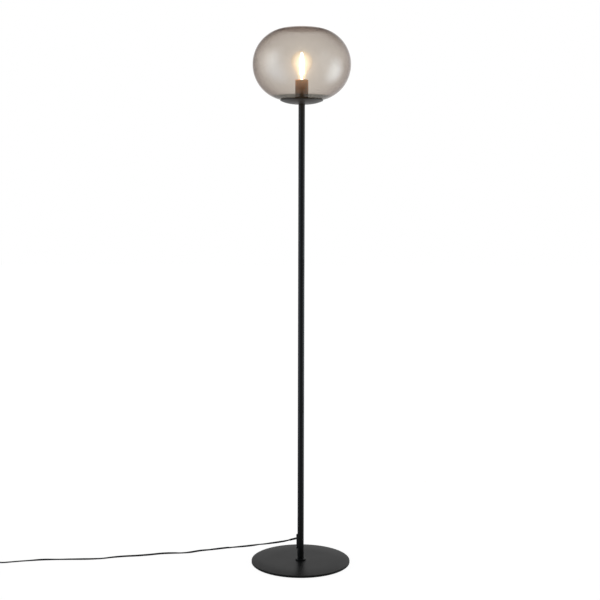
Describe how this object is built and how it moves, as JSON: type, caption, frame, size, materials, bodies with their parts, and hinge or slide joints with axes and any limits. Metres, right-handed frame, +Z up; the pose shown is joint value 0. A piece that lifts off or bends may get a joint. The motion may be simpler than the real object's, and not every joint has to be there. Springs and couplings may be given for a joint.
{
  "type": "floor lamp",
  "caption": "Slim floor lamp: a smoked glass globe over a screw-in bulb, on a thin black pole with a round steel base and a flat cord with a foot switch.",
  "frame": {"origin": "centre of the round base, on the floor", "axes": "+Z up along the pole, +X to the right as seen in the picture, +Y away from the viewer; the cord leaves the pole towards -X"},
  "size_m": [1.1865, 0.3066, 1.4993],
  "materials": {
    "black_powder": "matt black powder coat",
    "zinc_steel": "zinc plated",
    "bronze_paint": "satin bronze",
    "black_plastic": "fine matt",
    "cord_vinyl": "satin",
    "black_rubber": "matt",
    "grey_felt": "felt",
    "ivory_plastic": "gloss",
    "brass": "bright",
    "nickel": "bright nickel",
    "black_glass": "gloss",
    "filament": "phosphor coat",
    "clear_glass": "clear",
    "smoked_glass": "polished, smoke tint"
  },
  "bodies": {
    "lamp": {"base_plate": "black_powder", "felt_pad_1": "grey_felt", "felt_pad_2": "grey_felt", "felt_pad_3": "grey_felt", "felt_pad_4": "grey_felt", "base_screw": "zinc_steel", "foot_collar": "black_powder", "foot_plug": "zinc_steel", "outlet_plate": "black_plastic", "outlet_screw_1": "zinc_steel", "outlet_screw_2": "zinc_steel", "cord_relief": "black_rubber", "cord_grip": "black_plastic", "pole_lower": "black_powder", "pole_middle": "black_powder", "pole_upper": "black_powder", "joint_stud_1": "zinc_steel", "joint_socket_1": "zinc_steel", "joint_stud_2": "zinc_steel", "joint_socket_2": "zinc_steel", "top_socket": "zinc_steel", "inner_lead": "cord_vinyl", "dish": "black_powder", "glass_gasket": "black_rubber", "threaded_nipple": "zinc_steel", "lock_washer": "zinc_steel", "lock_nut": "zinc_steel", "holder_cover": "bronze_paint", "holder_cup": "ivory_plastic", "contact_block": "ivory_plastic", "centre_contact": "brass", "holder_sleeve": "ivory_plastic", "thread_shell": "brass", "cord_lead": "cord_vinyl", "cord_tail": "cord_vinyl", "cord_end": "cord_vinyl", "cord_coil": "cord_vinyl", "coil_tie": "black_rubber", "switch_case_lower": "black_plastic", "switch_case_upper": "black_plastic", "case_screw_1": "zinc_steel", "case_screw_2": "zinc_steel", "switch_module": "black_plastic", "plug_body": "black_plastic", "plug_pin_1": "nickel", "plug_pin_2": "nickel"},
    "bulb_contact": {"cap_contact": "nickel"},
    "bulb": {"bulb_cap": "nickel", "cap_insulator": "black_glass", "bulb_glass": "clear_glass", "bulb_stem": "clear_glass", "hanger_low": "nickel", "hanger_high": "nickel", "filament_1": "filament", "filament_2": "filament", "filament_3": "filament", "filament_4": "filament"},
    "globe": {"globe": "smoked_glass"},
    "pedal": {"switch_pedal": "black_plastic"}
  },
  "joints": [
    {"name": "bulb_rise", "type": "slide", "parent": "lamp", "child": "bulb_contact", "axis": [0, 0, 1], "range_m": [0, 0.0182]},
    {"name": "bulb_turn", "type": "hinge", "parent": "bulb_contact", "child": "bulb", "pos_m": [0, 0, 1.345], "axis": [0, 0, 1], "range_deg": [0, 1800]},
    {"name": "globe_lift", "type": "slide", "parent": "lamp", "child": "globe", "axis": [0, 0, 1], "range_m": [0, 0.15]},
    {"name": "pedal_press", "type": "slide", "parent": "lamp", "child": "pedal", "axis": [0, 0, -1], "range_m": [0, 0.003], "stiffness_N_per_m": 600, "springref_m": -0.001}
  ],
  "couplings": [
    {"joint": "bulb_rise", "follows": "bulb_turn", "m_per_rad": 0.00057757}
  ]
}
